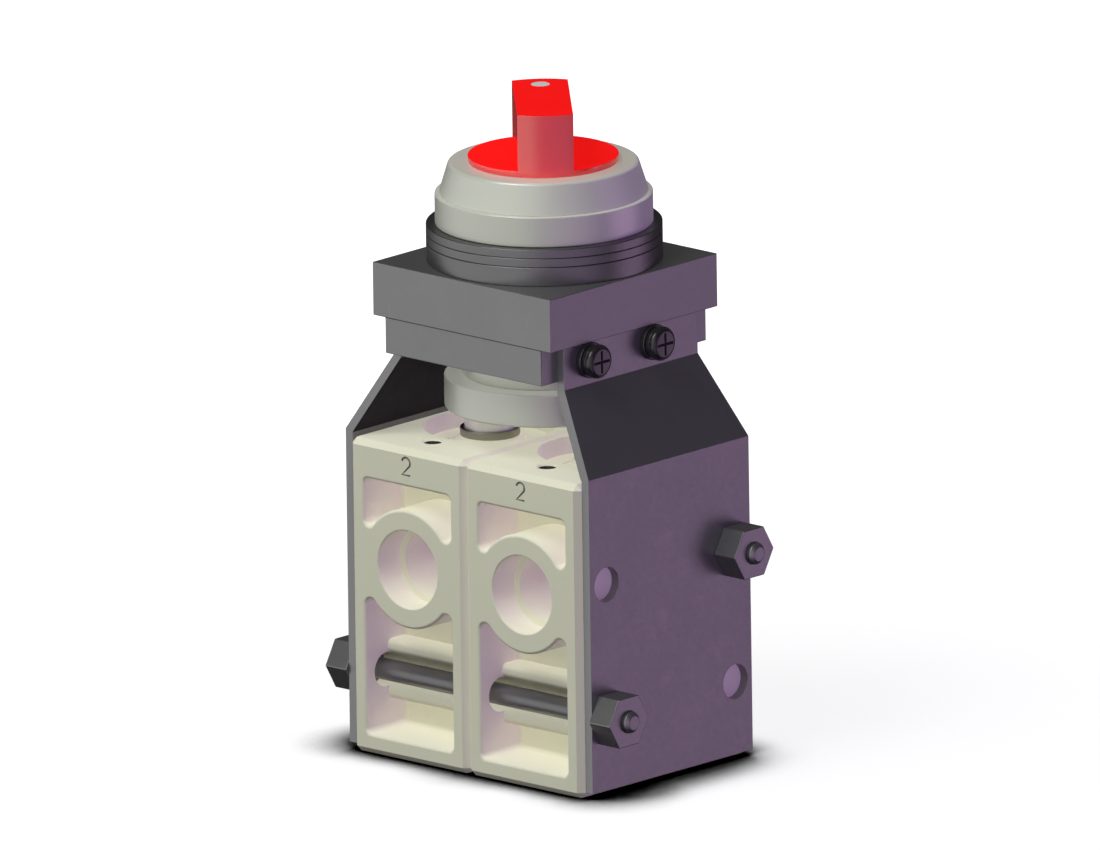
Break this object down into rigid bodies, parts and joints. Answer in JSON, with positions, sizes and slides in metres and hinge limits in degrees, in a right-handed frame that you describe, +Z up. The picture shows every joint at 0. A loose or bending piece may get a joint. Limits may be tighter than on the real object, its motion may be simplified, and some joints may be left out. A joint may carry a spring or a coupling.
{
  "type": "mechanical valve",
  "caption": "Panel-mount twist selector valve: a red knob turns a tilted cam that presses plungers in two ported valve bodies held between steel side plates.",
  "frame": {"origin": "on the knob's axis, at the underside of the two valve bodies", "axes": "+Z up along the knob's axis, +X to the right across the two bodies, +Y from the front ports to the rear"},
  "size_m": [0.0658, 0.0406, 0.1106],
  "materials": {
    "ivory_plastic": "moulded, satin",
    "black_plate": "black coated sheet steel",
    "black_block": "moulded, fine grain",
    "black_steel": "black oxide",
    "grey_plastic": "moulded, satin",
    "red_plastic": "moulded, glossy",
    "marker_plastic": "satin inlay",
    "steel": "turned",
    "chrome": "polished",
    "brass": "turned",
    "rubber": "matt"
  },
  "bodies": {
    "housing": {"left_body": "ivory_plastic", "left_guide_bush": "ivory_plastic", "left_plunger_collar": "steel", "left_rod_seal": "rubber", "left_return_spring": "steel", "left_seat": "brass", "left_seat_seal": "rubber", "left_poppet_spring": "steel", "left_bottom_plug": "brass", "left_plug_seal": "rubber", "left_side_plate": "black_plate", "right_body": "ivory_plastic", "right_guide_bush": "ivory_plastic", "right_plunger_collar": "steel", "right_rod_seal": "rubber", "right_return_spring": "steel", "right_seat": "brass", "right_seat_seal": "rubber", "right_poppet_spring": "steel", "right_bottom_plug": "brass", "right_plug_seal": "rubber", "right_side_plate": "black_plate", "front_tie_rod": "black_steel", "rear_tie_rod": "black_steel", "tie_rod_nuts": "black_steel", "plate_screws": "black_steel", "spring_washers": "black_steel", "flat_washers": "black_steel", "operator_block": "black_block", "panel_gasket": "rubber", "lower_washer": "black_steel", "upper_washer": "black_steel", "lock_ring": "grey_plastic", "bezel": "grey_plastic", "threaded_barrel": "steel", "spindle_bush": "brass", "spindle_seal": "rubber", "wave_washer": "steel", "stop_pin": "steel"},
    "knob_and_cam": {"knob": "red_plastic", "knob_marker": "marker_plastic", "knob_pin": "steel", "spindle": "steel", "stop_disc": "steel", "cam_disc": "grey_plastic", "cam_neck": "grey_plastic", "cam_screw": "steel"},
    "left_valve_stem": {"left_plunger": "chrome", "left_poppet": "grey_plastic", "left_poppet_seal": "rubber"},
    "right_valve_stem": {"right_plunger": "chrome", "right_poppet": "grey_plastic", "right_poppet_seal": "rubber"}
  },
  "joints": [
    {"name": "knob_turn", "type": "hinge", "parent": "housing", "child": "knob_and_cam", "pos_m": [0, 0, 0.06], "axis": [0, 0, 1], "range_deg": [-90, 0]},
    {"name": "left_plunger_slide", "type": "slide", "parent": "housing", "child": "left_valve_stem", "axis": [0, 0, 1], "range_m": [-0.0025, 0], "deforming": ["left_return_spring", "left_poppet_spring"]},
    {"name": "right_plunger_slide", "type": "slide", "parent": "housing", "child": "right_valve_stem", "axis": [0, 0, 1], "range_m": [0, 0.0025], "deforming": ["right_return_spring", "right_poppet_spring"]}
  ],
  "couplings": [
    {"joint": "knob_turn", "follows": "right_plunger_slide", "rad_per_m": -628.3},
    {"joint": "left_plunger_slide", "follows": "right_plunger_slide", "ratio": -1}
  ]
}
